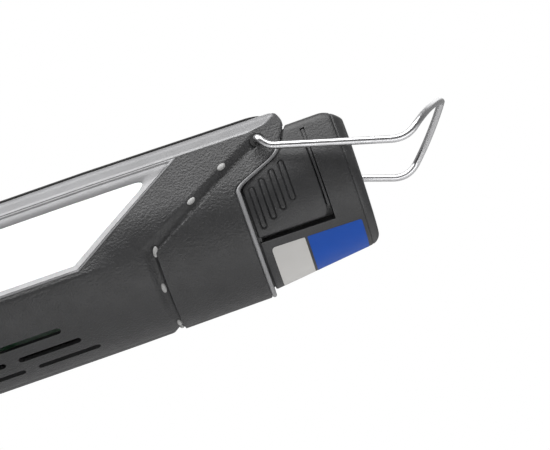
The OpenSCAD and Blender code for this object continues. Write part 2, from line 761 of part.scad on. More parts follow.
place() right_shell();
place() left_shell();
place() top_trim();
place() top_pad();
place() rear_collar();
place() front_bumper();
place() window_bezel_right();
place() window_bezel_left();
place() diffuser_right();
place() diffuser_left();
place() led_board_right();
place() led_board_left();
place() area_leds_right();
place() area_leds_left();
place() heat_sink();
place() driver_board();
place() driver_parts();
place() wire_harness();
place() head_bezel();
place() spot_lens();
place() lens_seal();
place() spot_reflector();
place() spot_board();
place() spot_led();
place() switch_board();
place() tact_switch();
place() power_button();
place() pack_receiver();
place() receiver_contacts();
place() pivot_bushes();
place() groove_pads();
place() housing_screws();
place() hanger_wire();
place() pack_case();
place() pack_cap();
place() cells();
place() cell_tabs();
place() pack_board();
place() pack_terminals();
place() label_grey();
place() label_blue();
place() release_button_right();
place() release_button_left();
place() release_pin_right();
place() release_pin_left();
place() release_spring_right();
place() release_spring_left();
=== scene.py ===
"""Cordless work light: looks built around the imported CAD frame.

Lengths in the tables and formulas are millimetres, counted along x from the rim, the plane where
the housing ends at the battery. to_frame() turns them into the frame's metres.
"""
import json
import math

import bmesh
import bpy
import numpy as np
from mathutils import Matrix, Vector


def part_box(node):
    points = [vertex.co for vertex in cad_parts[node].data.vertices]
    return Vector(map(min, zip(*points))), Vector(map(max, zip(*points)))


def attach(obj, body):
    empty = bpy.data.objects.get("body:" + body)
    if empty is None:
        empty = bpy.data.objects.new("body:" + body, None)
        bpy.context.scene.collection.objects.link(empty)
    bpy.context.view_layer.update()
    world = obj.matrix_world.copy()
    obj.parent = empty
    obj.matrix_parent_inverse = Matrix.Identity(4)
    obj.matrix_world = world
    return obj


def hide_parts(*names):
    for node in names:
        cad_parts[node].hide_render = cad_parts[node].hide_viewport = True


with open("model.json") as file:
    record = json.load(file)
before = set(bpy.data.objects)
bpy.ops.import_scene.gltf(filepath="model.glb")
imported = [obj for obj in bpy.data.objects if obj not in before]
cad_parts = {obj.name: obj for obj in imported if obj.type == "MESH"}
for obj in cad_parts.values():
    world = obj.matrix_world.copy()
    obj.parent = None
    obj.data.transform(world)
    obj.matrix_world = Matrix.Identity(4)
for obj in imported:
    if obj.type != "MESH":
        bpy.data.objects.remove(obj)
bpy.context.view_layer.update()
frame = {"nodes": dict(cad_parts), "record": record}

MM = 0.001
HOUSING_L = 178.0
RIM_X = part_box("right_shell")[0][0] / MM + HOUSING_L

# ---- Driving sizes, the same as the design's ----
WALL = 1.3
LEAN = math.radians(14)
TAPER = math.radians(3.2)
FOOT_R, FOOT_Z, FOOT_END = 24.0, 23.8, math.radians(-43)
FLANK_R = 29.0
FLANK_Y = (FOOT_R - FLANK_R) * math.cos(FOOT_END)
FLANK_Z = FOOT_Z + (FOOT_R - FLANK_R) * math.sin(FOOT_END)
SIDE_LOW_Y = FLANK_Y + FLANK_R * math.cos(LEAN)
SIDE_LOW_Z = FLANK_Z + FLANK_R * math.sin(LEAN)
TRIM_Z = 47.2
TRIM_Y = SIDE_LOW_Y - (TRIM_Z - SIDE_LOW_Z) * math.tan(LEAN)
SHOULDER_Y, TOP_Z = 16.2, 52.7
CREASE_X, CREASE_Z = -44.0, 20.3
CREASE_Y = SIDE_LOW_Y + (SIDE_LOW_Z - CREASE_Z) * math.tan(LEAN)
BELLY_R = (CREASE_Y ** 2 + (CREASE_Z + 0.2) ** 2) / (2 * (CREASE_Z + 0.2))
BELLY_Z = BELLY_R - 0.2
BELLY_END = -math.asin((BELLY_Z - CREASE_Z) / BELLY_R)
FADE = (-58.0, -32.0)          # the crease fades out between these
FRONT_X = -HOUSING_L
SEAM = 0.05
NOTCH_Z, BEND_Z = 31.3, 37.7     # heights where the rim's edge turns
RIM = [(NOTCH_Z, 0.0), (BEND_Z, 14.5), (47.0, 19.0), (49.5, 18.8), (52.0, 17.9), (53.5, 17.2), (60.0, 17.2)]
COLLAR_W = 1.3
COLLAR_TOP = 39.5
TRIM_END = [(47.2, 7.0), (48.2, 13.0), (51.2, 17.4), (52.7, 16.7)]
WIRE_R = 1.15
PIVOT = (9.9, 43.9)
STOW_X = -31.5
GROOVE_D = 1.3
BUTTON_X = -95.0

PACK_L, PACK_TOP, PACK_IN, PACK_NARROW = 36.5, 46.4, 2.2, 1.9
PACK_RISE = math.radians(6)
PACK_FLOOR = FOOT_Z - FOOT_R + PACK_IN
PACK_GAP = 0.5
CAP_X = PACK_L - 3.2
FLAP_X, FLAP_Z, FLAP_TOP, FLAP_T = 23.15, 14.9, 38.8, 1.2
RIDGE = (23.5, 24.2)           # a thin ridge in the slot behind the release button
SLOT_X = 24.55                 # that slot's rear edge
SLOT_TOP = 43.0
# Each label spans from and to these x, with these radii at its upper corners.
LABEL_Z, LABELS = 11.4, {"label_grey": (3.2, 13.8, 1.0, 0.25), "label_blue": (14.6, 32.0, 0.25, 0.6)}


# ---- Small helpers ----
def smooth(t):
    t = np.clip(t, 0, 1)
    return t * t * (3 - 2 * t)


def piecewise(z, table):
    """x at height z along a broken line of (z, x) points."""
    return np.interp(z, [p[0] for p in table], [p[1] for p in table])


def rim_x(z):
    """The rim's x at height z, with its corners rounded."""
    return np.mean([piecewise(z + d, RIM) for d in np.linspace(-1.5, 1.5, 9)], axis=0)


def to_frame(p):
    p = np.asarray(p, float).copy()
    p[..., 0] += RIM_X
    return p * MM


def resample(p, n):
    """n points spaced evenly along a polyline."""
    step = np.hypot(*np.diff(p, axis=0).T)
    run = np.concatenate([[0], np.cumsum(step)])
    at = np.linspace(0, run[-1], n)
    return np.stack([np.interp(at, run, p[:, k]) for k in range(2)], axis=1)


def arc(cy, cz, r, a0, a1, n):
    a = np.linspace(a0, a1, n)
    return np.stack([cy + r * np.cos(a), cz + r * np.sin(a)], axis=1)


def corner(a, p, b, n):
    """A rounded corner from a to b, with its control point at p."""
    t = np.linspace(0, 1, n)[:, None]
    a, p, b = (np.asarray(v, float) for v in (a, p, b))
    return a * (1 - t) ** 2 + p * 2 * t * (1 - t) + b * t ** 2


def capsule_loop(length, width, n=16):
    """The outline of a slot with round ends, around its middle."""
    loop = []
    for side in (1, -1):
        for k in np.linspace(-math.pi / 2, math.pi / 2, n):
            reach = (length - width) / 2 + width / 2 * math.cos(k)
            loop.append((side * reach, side * width / 2 * math.sin(k)))
    return np.array(loop)


def on_sections(stations, sections, x, rows):
    """Points at x (rows by columns) on the given rows of a table of sections."""
    f = (x - stations[0]) / (stations[1] - stations[0])
    i = np.clip(f.astype(int), 0, len(stations) - 2)
    f = (f - i)[..., None]
    r = np.asarray(rows)[:, None]
    yz = sections[i, r] * (1 - f) + sections[i + 1, r] * f
    return np.concatenate([x[..., None], yz], axis=-1)


def clip_low(p, low):
    """Drops what lies inside y = low from a polyline that starts at the middle."""
    k = int(np.argmax(p[:, 0] > low))
    if k == 0:
        return p
    a, b = p[k - 1], p[k]
    cut = a + (b - a) * (low - a[0]) / (b[0] - a[0])
    return np.vstack([cut, p[k:]])


# ---- Housing surface ----
BELLY_ROWS, TOP_ROWS = 46, 12
SIDE_Z = np.array(sorted(set(np.round(np.linspace(CREASE_Z, TRIM_Z, 58), 3)) | {NOTCH_Z, BEND_Z}))
BELLY_FRONT = arc(0, BELLY_Z, BELLY_R, math.radians(-90), BELLY_END, 90)
BELLY_REAR = np.vstack([
    arc(0, FOOT_Z, FOOT_R, math.radians(-90), FOOT_END, 50),
    arc(FLANK_Y, FLANK_Z, FLANK_R, FOOT_END, math.asin((CREASE_Z - FLANK_Z) / FLANK_R), 50)[1:],
])
PLANE_Y = TRIM_Y + (TRIM_Z - SIDE_Z) * math.tan(LEAN)
FLANK_SIDE_Y = np.where(
    SIDE_Z < SIDE_LOW_Z, FLANK_Y + np.sqrt(FLANK_R ** 2 - (SIDE_Z - FLANK_Z) ** 2), PLANE_Y)
SHOULDER = np.vstack([
    np.linspace([TRIM_Y, TRIM_Z], [SHOULDER_Y + 1.5, TOP_Z - 2.0], 10),
    corner([SHOULDER_Y + 1.5, TOP_Z - 2.0], [SHOULDER_Y + 0.2, TOP_Z], [SHOULDER_Y - 2.2, TOP_Z], 9)[1:],
])
LATTICE = np.arange(FRONT_X - 6, 24, 0.5)


def housing_section(x):
    turn = TAPER if x > CREASE_X else 0.0

    def place(y):
        return y / math.cos(turn) - (x - CREASE_X) * math.tan(turn)

    def belly(p):
        p = np.stack([place(p[:, 0]), np.maximum(p[:, 1], 0)], axis=1)
        return resample(clip_low(p, SEAM), BELLY_ROWS)

    w = float(smooth((x - FADE[0]) / (FADE[1] - FADE[0])))
    low = (1 - w) * belly(BELLY_FRONT) + w * belly(BELLY_REAR)
    side = np.stack([place((1 - w) * PLANE_Y + w * FLANK_SIDE_Y), SIDE_Z], axis=1)
    top = np.stack([place(SHOULDER[:, 0]), SHOULDER[:, 1]], axis=1)
    flat = np.stack([np.linspace(top[-1, 0], 0, TOP_ROWS), np.full(TOP_ROWS, TOP_Z)], axis=1)
    return np.vstack([low[:-1], side, top[1:], flat[1:]])


HOUSING = np.array([housing_section(x) for x in LATTICE])
SIDE_0 = BELLY_ROWS - 1
SIDE_1 = SIDE_0 + len(SIDE_Z) - 1
ROWS = HOUSING.shape[1]


def on_lattice(x, rows):
    return on_sections(LATTICE, HOUSING, x, rows)


def normals(p, inside=(0.0, 24.0)):
    """Outward unit normals of a grid of points that wraps around an axis along x."""
    n = np.cross(np.gradient(p, axis=0), np.gradient(p, axis=1))
    n /= np.maximum(np.linalg.norm(n, axis=-1, keepdims=True), 1e-12)
    away = p[..., 1:] - np.array(inside)
    sign = np.sign((n[..., 1:] * away).sum(-1).sum())
    return n * sign


def side_point(x, z, depth):
    """Points on the housing's right side at x and height z, set in by depth."""
    def y_at(xx, zz):
        f = (xx - LATTICE[0]) / (LATTICE[1] - LATTICE[0])
        i = np.clip(f.astype(int), 0, len(LATTICE) - 2)
        g = np.interp(zz, SIDE_Z, np.arange(len(SIDE_Z)))
        j = np.clip(g.astype(int), 0, len(SIDE_Z) - 2)
        f, g, j = f - i, g - j, j + SIDE_0
        low = HOUSING[i, j, 0] * (1 - f) + HOUSING[i + 1, j, 0] * f
        high = HOUSING[i, j + 1, 0] * (1 - f) + HOUSING[i + 1, j + 1, 0] * f
        return low * (1 - g) + high * g

    x, z = np.asarray(x, float), np.asarray(z, float)
    h = 0.6
    n = np.stack([
        -(y_at(x + h, z) - y_at(x - h, z)) / (2 * h), np.ones_like(x),
        -(y_at(x, np.minimum(z + h, TRIM_Z)) - y_at(x, np.maximum(z - h, CREASE_Z)))
        / (np.minimum(z + h, TRIM_Z) - np.maximum(z - h, CREASE_Z)),
    ], axis=-1)
    n /= np.linalg.norm(n, axis=-1, keepdims=True)
    p = np.stack([x, y_at(x, z), z], axis=-1)
    return p - n * np.asarray(depth)[..., None]


# ---- Side window outline ----
def side_v(z):
    return (z - TRIM_Z) / math.cos(LEAN)


def v_height(v):
    return TRIM_Z + v * math.cos(LEAN)


def window_edge(degrees, x, z):
    """The edge that faces a direction and passes x at height z: that direction, and its distance."""
    a = math.radians(degrees)
    return a, x * math.cos(a) + side_v(z) * math.sin(a)


WINDOW = [
    (math.radians(90), side_v(46.95)),
    window_edge(-55.8, -16.5, 45.9),
    (math.radians(-90), -side_v(21.6)),
    window_edge(160, -150, 46),
]
BAND = (1.4, 1.0, 1.0, 1.0)     # the bezel is wider along the top


def window_inset(x, v):
    """How far inside the window's outline a point lies."""
    return np.min([d - (x * math.cos(a) + v * math.sin(a)) for a, d in WINDOW], axis=0)


def window_loop(e, radius, on_corner=9, on_edge=26):
    """The window's outline, set in by e, with rounded corners."""
    def meet(i, j):
        (a, da), (b, db) = WINDOW[i % 4], WINDOW[j % 4]
        da, db, s = da - e * BAND[i % 4], db - e * BAND[j % 4], math.sin(b - a)
        return np.array([da * math.sin(b) - db * math.sin(a), db * math.cos(a) - da * math.cos(b)]) / s

    corners = [meet(i, i + 1) for i in range(4)]
    points = []
    for i, p in enumerate(corners):
        before, after = corners[i - 1] - p, corners[(i + 1) % 4] - p
        long_u, long_w = np.linalg.norm(before), np.linalg.norm(after)
        u, w = before / long_u, after / long_w
        run = min(radius / math.tan(math.acos(float(u @ w)) / 2), 0.45 * min(long_u, long_w))
        points.append(corner(p + u * run, p, p + w * run, on_corner))
    loop = []
    for i, c in enumerate(points):
        loop.append(c)
        nxt = points[(i + 1) % 4][0]
        loop.append(np.linspace(c[-1], nxt, on_edge + 2)[1:-1])
    return np.vstack(loop)


def window_ring(e, depth, radius):
    loop = window_loop(e, radius)
    return side_point(loop[:, 0], v_height(loop[:, 1]), np.full(len(loop), float(depth)))


# ---- Meshes ----
def new_object(name, verts, faces, mirrored=False):
    verts = to_frame(verts)
    if mirrored:
        verts[:, 1] *= -1
        faces = [tuple(reversed(f)) for f in faces]
    mesh = bpy.data.meshes.new(name)
    mesh.from_pydata(verts.tolist(), [], [tuple(int(i) for i in f) for f in faces])
    mesh.validate()
    obj = bpy.data.objects.new(name, mesh)
    bpy.context.scene.collection.objects.link(obj)
    return obj


def tidy_mesh(obj, sharp=38, merge=1e-6):
    bm = bmesh.new()
    bm.from_mesh(obj.data)
    bmesh.ops.remove_doubles(bm, verts=bm.verts, dist=merge)
    bmesh.ops.dissolve_degenerate(bm, edges=bm.edges, dist=merge / 2)
    bmesh.ops.recalc_face_normals(bm, faces=bm.faces)
    bm.to_mesh(obj.data)
    bm.free()
    obj.data.shade_smooth()
    obj.data.set_sharp_from_angle(angle=math.radians(sharp))
    return obj


def layer_faces(r, c, base=0):
    """Faces that close two grids of r by c points, one after the other in a list."""
    k = r * c
    faces = []
    for i in range(r - 1):
        for j in range(c - 1):
            a = base + i * c + j
            faces.append((a, a + 1, a + c + 1, a + c))
            faces.append((k + a, k + a + c, k + a + c + 1, k + a + 1))
    edge = list(range(c)) + [i * c + c - 1 for i in range(1, r)]
    edge += [(r - 1) * c + j for j in range(c - 2, -1, -1)] + [i * c for i in range(r - 2, 0, -1)]
    for a, b in zip(edge, edge[1:] + edge[:1]):
        faces.append((base + a, base + k + a, base + k + b, base + b))
    return faces


def slab(name, outer, inner, mirrored=False, sharp=38):
    """A closed piece between two grids of points."""
    verts = np.vstack([outer.reshape(-1, 3), inner.reshape(-1, 3)])
    return tidy_mesh(new_object(name, verts, layer_faces(*outer.shape[:2]), mirrored), sharp)


def rings(name, loops, mirrored=False, sharp=38, ends=True, closed=False):
    """A closed piece skinned over loops of points."""
    n = len(loops[0])
    verts = np.vstack(loops)
    faces = []
    spans = len(loops) if closed else len(loops) - 1
    for i in range(spans):
        a, b = i * n, ((i + 1) % len(loops)) * n
        for j in range(n):
            k = (j + 1) % n
            faces.append((a + j, a + k, b + k, b + j))
    if ends and not closed:
        faces.append(tuple(range(n - 1, -1, -1)))
        faces.append(tuple((len(loops) - 1) * n + j for j in range(n)))
    return tidy_mesh(new_object(name, verts, faces, mirrored), sharp)


def both_halves(grid):
    """Joins a right half, which ends or starts at the middle, to its mirror image."""
    other = grid[::-1].copy()
    other[..., 1] *= -1
    return np.concatenate([grid[:-1], other]) if abs(grid[-1, 0, 1]) < 1e-6 else np.concatenate([other, grid])


def bake(obj):
    deps = bpy.context.evaluated_depsgraph_get()
    mesh = bpy.data.meshes.new_from_object(obj.evaluated_get(deps))
    old = obj.data
    obj.modifiers.clear()
    obj.data = mesh
    bpy.data.meshes.remove(old)
    return obj


def cut(obj, cutters, sharp=38):
    """Cuts solids out of a piece, then deletes them."""
    for tool in cutters:
        mod = obj.modifiers.new("cut", "BOOLEAN")
        mod.operation, mod.solver, mod.object = "DIFFERENCE", "EXACT", tool
    bake(obj)
    for tool in cutters:
        bpy.data.objects.remove(tool)
    return tidy_mesh(obj, sharp)


def soften(node, name, width, segments=3, angle=30):
    """A copy of a CAD node with its sharp edges rounded."""
    obj = bpy.data.objects.new(name, frame["nodes"][node].data.copy())
    bpy.context.scene.collection.objects.link(obj)
    bm = bmesh.new()
    bm.from_mesh(obj.data)
    bmesh.ops.remove_doubles(bm, verts=bm.verts, dist=2e-6)
    bmesh.ops.dissolve_limit(bm, angle_limit=math.radians(2), verts=bm.verts, edges=bm.edges)
    bm.to_mesh(obj.data)
    bm.free()
    mod = obj.modifiers.new("round", "BEVEL")
    mod.width, mod.segments = width * MM, segments
    mod.limit_method, mod.angle_limit = "ANGLE", math.radians(angle)
    mod.use_clamp_overlap = True
    bake(obj)
    obj.data.shade_smooth()
    obj.data.set_sharp_from_angle(angle=math.radians(38))
    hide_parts(node)
    return obj


def rod(name, p, axis, length, radius, n=40):
    """A cylinder from p along an axis letter, used as a cutter."""
    a = np.linspace(0, 2 * math.pi, n, endpoint=False)
    u, w = {"x": ((0, 1, 0), (0, 0, 1)), "y": ((0, 0, 1), (1, 0, 0)), "z": ((1, 0, 0), (0, 1, 0))}[axis]
    d = np.cross(u, w)
    ring = np.array(p) + radius * (np.outer(np.cos(a), u) + np.outer(np.sin(a), w))
    return rings(name, [ring, ring + d * length])


# ---- Materials ----
def finish(name, color, rough, metal=0.0, grain=None, tint=0.12, patch=90.0, coat=0.0, extra=None, wear=0.0):
    """A procedural finish: mottled colour, uneven gloss and, if asked, a moulded or brushed grain."""
    mat = bpy.data.materials.new(name)
    mat.use_nodes = True
    tree = mat.node_tree
    new, link = tree.nodes.new, tree.links.new
    shader = tree.nodes["Principled BSDF"]
    coords = new("ShaderNodeTexCoord").outputs["Object"]

    def noise(scale, detail=2.0, stretch=(1, 1, 1)):
        mapping = new("ShaderNodeMapping")
        mapping.inputs["Scale"].default_value = stretch
        node = new("ShaderNodeTexNoise")
        node.inputs["Scale"].default_value = scale
        node.inputs["Detail"].default_value = detail
        link(coords, mapping.inputs["Vector"])
        link(mapping.outputs["Vector"], node.inputs["Vector"])
        return node.outputs["Fac"]

    def spread(value, low, high, a=0.3, b=0.7):
        node = new("ShaderNodeMapRange")
        for key, number in (("From Min", a), ("From Max", b), ("To Min", low), ("To Max", high)):
            node.inputs[key].default_value = number
        link(value, node.inputs["Value"])
        return node.outputs["Result"]

    blotch = noise(patch, 4.0)
    mix = new("ShaderNodeMix")
    mix.data_type = "RGBA"
    mix.inputs["A"].default_value = (*[c * (1 - tint) for c in color], 1)
    mix.inputs["B"].default_value = (*[min(1, c * (1 + tint)) for c in color], 1)
    link(spread(blotch, 0, 1), mix.inputs["Factor"])
    base = mix.outputs["Result"]
    if wear:
        edge = new("ShaderNodeNewGeometry").outputs["Pointiness"]
        worn = new("ShaderNodeMix")
        worn.data_type = "RGBA"
        worn.inputs["B"].default_value = (*[min(1, c * 1.5 + 0.06) for c in color], 1)
        link(spread(edge, 0, wear, 0.52, 0.62), worn.inputs["Factor"])
        link(base, worn.inputs["A"])
        base = worn.outputs["Result"]
    link(base, shader.inputs["Base Color"])
    link(spread(noise(patch * 3, 3.0), rough * 0.88, min(1, rough * 1.12)), shader.inputs["Roughness"])
    shader.inputs["Metallic"].default_value = metal
    shader.inputs["Coat Weight"].default_value = coat
    for key, value in (extra or {}).items():
        shader.inputs[key].default_value = value
    if grain:
        scale, strength, stretch = grain
        bump = new("ShaderNodeBump")
        bump.inputs["Strength"].default_value = strength
        bump.inputs["Distance"].default_value = 0.00025
        link(noise(scale, 2.5, stretch), bump.inputs["Height"])
        link(bump.outputs["Normal"], shader.inputs["Normal"])
    return mat


EVEN = (1, 1, 1)
ALONG_X = (0.05, 1, 1)
FINISHES = {
    "housing": finish("housing", (0.024, 0.024, 0.025), 0.46, grain=(1500, 1.0, EVEN), wear=0.3),
    "trim": finish("trim", (0.235, 0.235, 0.24), 0.42, metal=0.25, grain=(2600, 0.16, EVEN), tint=0.05),
    "pad_black": finish("pad_black", (0.018, 0.018, 0.018), 0.62, grain=(1700, 0.4, EVEN)),
    "collar": finish("collar", (0.26, 0.26, 0.265), 0.42, metal=0.2, grain=(2200, 0.2, EVEN), tint=0.06),
    "bumper": finish("bumper", (0.022, 0.022, 0.022), 0.66, grain=(1600, 0.5, EVEN)),
    "bezel": finish("bezel", (0.24, 0.24, 0.245), 0.42, metal=0.25, grain=(2600, 0.08, EVEN), tint=0.04),
    # painted glow: a weak white emission lightens the diffuser panel beyond what the lamps give it
    "diffuser": finish("diffuser", (0.84, 0.84, 0.835), 0.34, tint=0.015, coat=0.15,
                       extra={"Subsurface Weight": 0.15, "Subsurface Scale": 0.002,
                              "Emission Color": (1.0, 1.0, 1.0, 1.0), "Emission Strength": 0.12}),
    "led_board": finish("led_board", (0.78, 0.78, 0.76), 0.45, tint=0.04),
    "led": finish("led", (0.85, 0.66, 0.12), 0.35, tint=0.08, patch=500),
    "heat_sink": finish("heat_sink", (0.62, 0.63, 0.65), 0.38, metal=1.0, grain=(1400, 0.25, ALONG_X)),
    "board": finish("board", (0.012, 0.10, 0.035), 0.35, coat=0.4, patch=300),
    "dark_plastic": finish("dark_plastic", (0.03, 0.03, 0.032), 0.5, grain=(1500, 0.3, EVEN)),
    "harness": finish("harness", (0.42, 0.02, 0.02), 0.42, patch=300),
    "lens": finish("lens", (0.92, 0.96, 0.98), 0.04, tint=0.01,
                   extra={"Transmission Weight": 0.95, "IOR": 1.49}),
    "seal": finish("seal", (0.015, 0.015, 0.015), 0.6, grain=(1600, 0.3, EVEN)),
    "reflector": finish("reflector", (0.86, 0.87, 0.88), 0.10, metal=1.0, tint=0.02),
    "button": finish("button", (0.20, 0.205, 0.21), 0.42, grain=(2200, 0.25, EVEN), wear=0.3),
    "contact": finish("contact", (0.78, 0.60, 0.24), 0.25, metal=1.0, grain=(900, 0.1, ALONG_X)),
    "bush": finish("bush", (0.02, 0.02, 0.02), 0.42, grain=(1500, 0.2, EVEN)),
    "groove_pad": finish("groove_pad", (0.36, 0.36, 0.355), 0.55, grain=(1800, 0.3, EVEN)),
    "screw": finish("screw", (0.06, 0.06, 0.065), 0.35, metal=0.9, grain=(1200, 0.2, EVEN)),
    "wire": finish("wire", (0.60, 0.60, 0.61), 0.30, metal=1.0, grain=(2200, 0.05, EVEN), tint=0.05,
                   patch=260),
    "pack": finish("pack", (0.026, 0.026, 0.027), 0.46, grain=(1700, 0.55, EVEN), wear=0.35),
    "pack_end": finish("pack_end", (0.034, 0.034, 0.035), 0.44, grain=(1700, 0.45, EVEN), wear=0.4),
    "cell": finish("cell", (0.02, 0.16, 0.32), 0.30, coat=0.5, patch=200),
    "tab": finish("tab", (0.66, 0.65, 0.61), 0.32, metal=1.0, grain=(1200, 0.2, ALONG_X)),
    "label_grey": finish("label_grey", (0.52, 0.51, 0.495), 0.45, tint=0.03),
    "label_blue": finish("label_blue", (0.003, 0.062, 0.36), 0.45, tint=0.05,
                         extra={"Specular IOR Level": 0.25}),
    "release": finish("release", (0.024, 0.024, 0.025), 0.44, grain=(1700, 0.5, EVEN), wear=0.4),
    "pin": finish("pin", (0.6, 0.6, 0.61), 0.25, metal=1.0, grain=(1500, 0.1, ALONG_X)),
    "spring": finish("spring", (0.55, 0.55, 0.57), 0.28, metal=1.0, grain=(1500, 0.1, EVEN)),
}
SLOT = {s["node"]: s["material_slot"] for s in frame["record"]["subparts"]}
BODY = {n: b for b, nodes in frame["record"]["behaviour"]["bodies"].items() for n in nodes}


def dress(piece, node):
    """Gives a piece the finish, body and slot of a node."""
    piece.data.materials.clear()
    piece.data.materials.append(FINISHES[SLOT[node]])
    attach(piece, BODY[node])


def stand_in(piece, node):
    """Puts a piece in a node's place."""
    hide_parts(node)
    dress(piece, node)


# ---- Housing shells ----
def columns():
    """x stations of the shells, dense where there is detail."""
    return np.concatenate([
        np.arange(FRONT_X, -158, 1.0), np.arange(-158, -140, 0.5), np.arange(-140, -60, 2.0),
        np.arange(-60, -6, 0.45),
    ])


def groove_depth(x, z):
    """Depth of the stowage groove: a long slope on its front side and a steep wall behind."""
    v = side_v(z)
    a = np.array([PIVOT[0] - 1.0, side_v(43.6)])
    b = np.array([STOW_X, side_v(21)])
    d = (b - a) / np.linalg.norm(b - a)
    along = (x - a[0]) * d[0] + (v - a[1]) * d[1]
    over = np.clip(along, 0, np.linalg.norm(b - a)) - along
    behind = (x - a[0]) * -d[1] + (v - a[1]) * d[0]
    behind = np.where(over != 0, np.sign(behind) * np.hypot(behind, over), behind)
    belly = x - STOW_X
    use_belly = (z < 21.5) & (np.abs(belly) < np.abs(behind))
    behind = np.where(use_belly, belly, behind)
    rise = smooth((behind + 2.7) / 3.0)
    fall = smooth((1.55 - behind) / 0.5)
    return GROOVE_D * rise * fall


def shell(name, mirrored):
    x0 = columns()
    rows = np.arange(ROWS)
    z_row = HOUSING[len(LATTICE) // 2, :, 1]
    z_rim = np.where(rows < SIDE_0, 0, z_row)
    end = rim_x(z_rim) - (COLLAR_W + 0.1) * smooth((COLLAR_TOP + 0.5 - z_rim) / 0.5)
    t = np.linspace(0, 1, 44)
    x = np.concatenate([np.tile(x0, (ROWS, 1)), -6 + (end[:, None] + 6) * t], axis=1)
    p = on_lattice(x, rows)
    n = normals(p)
    depth = groove_depth(p[..., 0], p[..., 2])
    depth = np.where(rows[:, None] > SIDE_1, 0.28, depth)
    inset = window_inset(p[..., 0], side_v(p[..., 2]))
    in_side = (rows[:, None] >= SIDE_0) & (rows[:, None] <= SIDE_1)
    depth = depth + np.where(in_side, 3.0 * smooth((inset - 0.7) / 0.9), 0)
    depth = depth + 0.18 * (rows[:, None] == 0)
    # soft rear edge against the collar
    depth = depth + 0.25 * smooth((x - end[:, None] + 0.5) / 0.5)
    front = FRONT_X + 8.0
    depth = depth + 1.7 * smooth((front - x) / 0.6 + 0.5)
    outer = p - n * depth[..., None]
    outer[..., 2] = np.maximum(outer[..., 2], 0)
    outer[..., 1] = np.maximum(outer[..., 1], SEAM * (z_row < TOP_Z - 0.01)[:, None])
    inner = p - n * (depth + WALL)[..., None]
    inner[..., 1] = np.maximum(inner[..., 1], SEAM * (z_row < TOP_Z - 0.01)[:, None])
    keep = slice(0, ROWS - TOP_ROWS + 3)
    obj = slab(name, outer[keep], inner[keep])
    tools = [rod("pivot_hole", (PIVOT[0], 12, PIVOT[1]), "y", 20, 1.95)]
    tools += vent_tools()
    if not mirrored:
        for sx, sz in ((-58, 8.5), (-105, 8.5), (-155, 8.5), (-163, 43)):
            tools.append(rod("screw_hole", (sx, 10, sz), "y", 30, 3.0))
    cut(obj, tools)
    if mirrored:
        obj.data.transform(Matrix.Scale(-1, 4, (0, 1, 0)))
        obj.data.flip_normals()
        tidy_mesh(obj)
    return obj


def vent_tools():
    """Rounded slots through the belly."""
    tools = []
    length, width, stagger = 20.0, 2.2, 4.5
    for first in (-99.5, -75.5):
        for step, degrees in enumerate((20, 32, 44)):
            a = math.radians(degrees)
            out = np.array([0, math.sin(a), -math.cos(a)])
            across = np.array([0, math.cos(a), math.sin(a)])
            loop = capsule_loop(length, width, 12) + [first - stagger * step + length / 2, 0]
            ring = np.outer(loop[:, 0], (1, 0, 0)) + np.outer(loop[:, 1], across)
            base = np.array([0, 0, BELLY_Z])
            tools.append(rings("vent", [ring + base + out * (BELLY_R + d) for d in (-4, 3)]))
    return tools


for side, mirrored in (("right", False), ("left", True)):
    stand_in(shell(f"housing_{side}", mirrored), f"{side}_shell")


# ---- Collar, trim, pad and bumper ----
def collar():
    rows = np.arange(0, SIDE_0 + int(np.argmax(SIDE_Z > COLLAR_TOP)))
    z_row = np.where(rows < SIDE_0, 0, HOUSING[len(LATTICE) // 2, rows, 1])
    t = np.linspace(0, 1, 9)
    x = (rim_x(z_row) - COLLAR_W)[:, None] + COLLAR_W * t
    p = on_lattice(x, rows)
    n = normals(p)
    crown = 0.16 - 0.42 * (2 * np.abs(t - 0.5)) ** 3
    outer = p + n * crown[None, :, None]
    outer[..., 2] = np.maximum(outer[..., 2], 0)
    outer[..., 1] = np.maximum(outer[..., 1], 0)
    inner = p - n * 1.6
    inner[..., 1] = np.maximum(inner[..., 1], 0)
    outer[0, :, 1] = inner[0, :, 1] = 0
    return slab("rim_collar", both_halves(outer[::-1]), both_halves(inner[::-1]))


def trim():
    rows = np.arange(SIDE_1, ROWS)
    z_row = HOUSING[0, rows, 1]
    end = piecewise(z_row, TRIM_END)
    t = np.concatenate([np.linspace(0, 0.9, 60)[:-1], 0.9 + 0.1 * np.linspace(0, 1, 40)])
    start = FRONT_X + 8.1
    x = start + (end[:, None] - start) * t
    p = on_lattice(x, rows)
    n = normals(p)
    rise = np.minimum(smooth((end[:, None] - x) / 0.7), smooth(np.arange(len(rows)) / 1.6)[:, None])
    lift = 0.05 - 0.45 * (1 - rise)
    outer = p + n * lift[..., None]
    inner = p - n * 1.5
    outer[-1, :, 1] = inner[-1, :, 1] = 0
    obj = slab("top_strip", both_halves(outer), both_halves(inner))
    return cut(obj, [button_prism("button_cut", 0.3, 40, 60)])


def button_prism(name, grow, z0, z1):
    loop = capsule_loop(24 + 2 * grow, 12 + 2 * grow)
    def at(z):
        return np.stack([loop[:, 0] + BUTTON_X, loop[:, 1], np.full(len(loop), z)], axis=1)
    return rings(name, [at(z0), at(z1)])


stand_in(collar(), "rear_collar")
stand_in(trim(), "top_trim")
dress(soften("top_pad", "top_grip_pad", 0.3), "top_pad")


